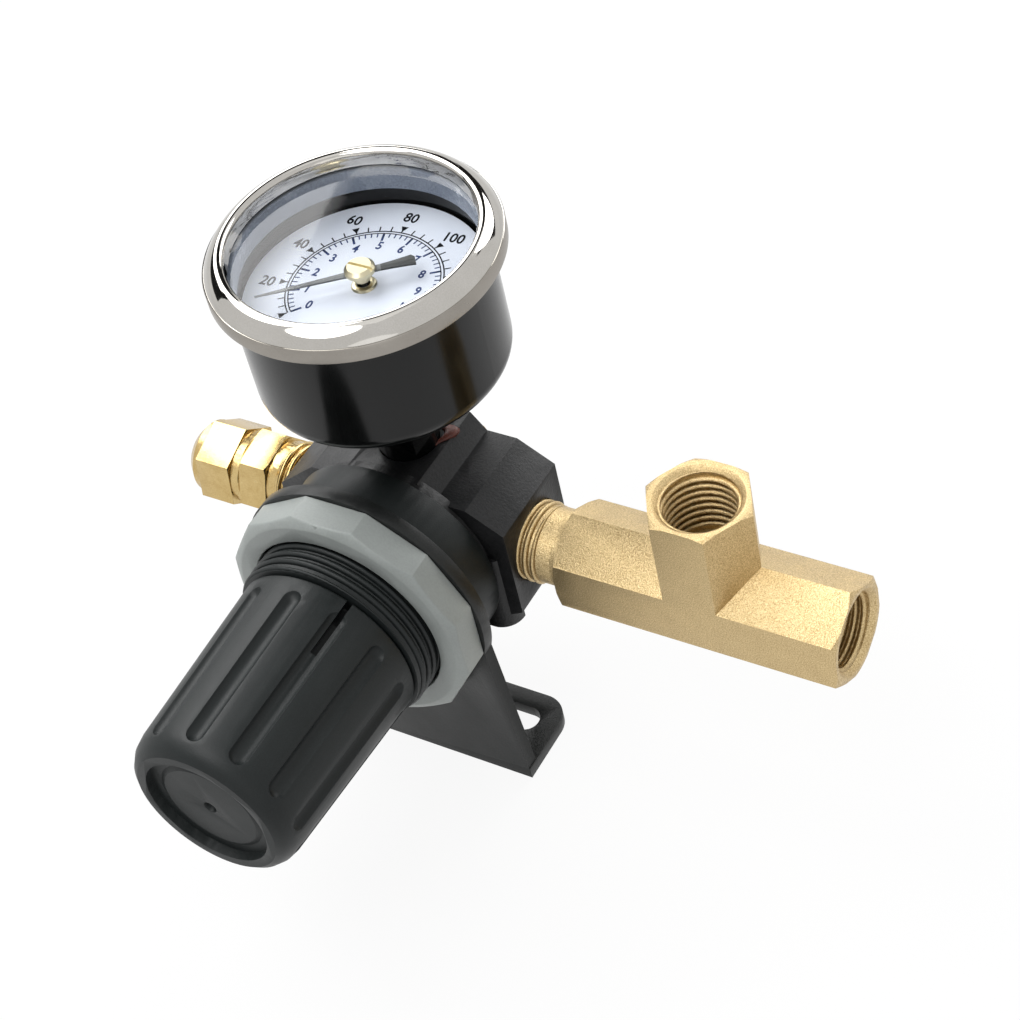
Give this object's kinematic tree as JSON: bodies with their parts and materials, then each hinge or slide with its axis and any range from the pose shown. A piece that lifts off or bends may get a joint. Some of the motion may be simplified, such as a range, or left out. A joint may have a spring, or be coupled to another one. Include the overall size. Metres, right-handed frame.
{
  "type": "inline air pressure regulator",
  "caption": "Inline air pressure regulator with turning knob, dial gauge, slotted mounting bracket, brass tee on the outlet and compression tube fitting on the inlet.",
  "frame": {"origin": "underside of the bracket foot, midway between its two slots", "axes": "+X along the ports with the air, from the tube fitting to the tee; -Y towards the adjusting knob; +Z towards the gauge"},
  "size_m": [0.118, 0.0855, 0.0924],
  "materials": {
    "body": "satin black paint on cast zinc",
    "bonnet": "satin",
    "panel_nut": "satin",
    "mounting_bracket": "satin black coat",
    "adjusting_knob": "fine satin",
    "adjusting_screw": "turned",
    "thrust_washer": "plated",
    "retaining_ring": "spring steel",
    "spring_nut": "turned",
    "regulating_spring": "drawn wire",
    "diaphragm": "moulded",
    "diaphragm_plate": "turned",
    "relief_seat": "turned",
    "valve_seat": "turned",
    "valve_poppet": "turned",
    "poppet_seal": "moulded",
    "valve_spring": "drawn wire",
    "valve_cap": "turned",
    "valve_cap_o_ring": "moulded",
    "gauge_port_plug": "plated",
    "outlet_tee": "forged and machined",
    "inlet_fitting": "machined",
    "compression_nut": "machined",
    "compression_sleeve": "machined",
    "gauge_case": "gloss black paint",
    "gauge_bezel": "polished",
    "lens_gasket": "moulded",
    "gauge_lens": "clear plastic",
    "gauge_dial": "satin print",
    "dial_posts": "turned",
    "gauge_stem": "machined",
    "bourdon_tube": "drawn",
    "tube_tip": "machined",
    "movement_back_plate": "stamped",
    "movement_front_plate": "stamped",
    "movement_pillars": "turned",
    "pinion_shaft": "cut",
    "sector_gear": "cut",
    "sector_link": "stamped",
    "hairspring": "wound strip",
    "gauge_pointer": "satin black paint",
    "pointer_hub": "turned"
  },
  "bodies": {
    "housing": {"body": "body", "bonnet": "bonnet", "panel_nut": "panel_nut", "mounting_bracket": "mounting_bracket", "thrust_washer": "thrust_washer", "regulating_spring": "regulating_spring", "diaphragm": "diaphragm", "valve_seat": "valve_seat", "valve_spring": "valve_spring", "valve_cap": "valve_cap", "valve_cap_o_ring": "valve_cap_o_ring", "gauge_port_plug": "gauge_port_plug", "outlet_tee": "outlet_tee", "inlet_fitting": "inlet_fitting", "compression_nut": "compression_nut", "compression_sleeve": "compression_sleeve", "gauge_case": "gauge_case", "gauge_bezel": "gauge_bezel", "lens_gasket": "lens_gasket", "gauge_lens": "gauge_lens", "gauge_dial": "gauge_dial", "dial_posts": "dial_posts", "gauge_stem": "gauge_stem", "bourdon_tube": "bourdon_tube", "tube_tip": "tube_tip", "movement_back_plate": "movement_back_plate", "movement_front_plate": "movement_front_plate", "movement_pillars": "movement_pillars", "sector_link": "sector_link", "hairspring": "hairspring"},
    "adjuster": {"adjusting_screw": "adjusting_screw", "retaining_ring": "retaining_ring"},
    "knob": {"adjusting_knob": "adjusting_knob"},
    "spring_nut": {"spring_nut": "spring_nut"},
    "diaphragm_assembly": {"diaphragm_plate": "diaphragm_plate", "relief_seat": "relief_seat"},
    "valve": {"valve_poppet": "valve_poppet", "poppet_seal": "poppet_seal"},
    "pointer": {"gauge_pointer": "gauge_pointer", "pointer_hub": "pointer_hub", "pinion_shaft": "pinion_shaft"},
    "sector": {"sector_gear": "sector_gear"}
  },
  "joints": [
    {"name": "adjuster_turn", "type": "hinge", "parent": "housing", "child": "adjuster", "pos_m": [0, -0.0345, 0.0355], "axis": [0, 1, 0], "range_deg": [-360, 1800]},
    {"name": "knob_pull", "type": "slide", "parent": "adjuster", "child": "knob", "axis": [0, -1, 0], "range_m": [0, 0.003]},
    {"name": "spring_nut_travel", "type": "slide", "parent": "housing", "child": "spring_nut", "axis": [0, 1, 0], "range_m": [-0.001, 0.005], "deforming": ["regulating_spring"]},
    {"name": "diaphragm_stroke", "type": "slide", "parent": "housing", "child": "diaphragm_assembly", "axis": [0, 1, 0], "range_m": [0, 0.001], "stiffness_N_per_m": 200, "deforming": ["diaphragm"]},
    {"name": "valve_stroke", "type": "slide", "parent": "housing", "child": "valve", "axis": [0, 1, 0], "range_m": [0, 0.001], "deforming": ["valve_spring"]},
    {"name": "pointer_turn", "type": "hinge", "parent": "housing", "child": "pointer", "pos_m": [0, 0.0105, 0.0848], "axis": [0, 0, 1], "range_deg": [-259.5, 10.5]},
    {"name": "sector_turn", "type": "hinge", "parent": "housing", "child": "sector", "pos_m": [-0.00928, 0.0123, 0.077], "axis": [0, 0, 1], "range_deg": [-2.3, 52.1]}
  ],
  "couplings": [
    {"joint": "spring_nut_travel", "follows": "adjuster_turn", "m_per_rad": 0.00015915},
    {"joint": "valve_stroke", "follows": "diaphragm_stroke", "ratio": 1},
    {"joint": "sector_turn", "follows": "pointer_turn", "ratio": -0.2}
  ]
}
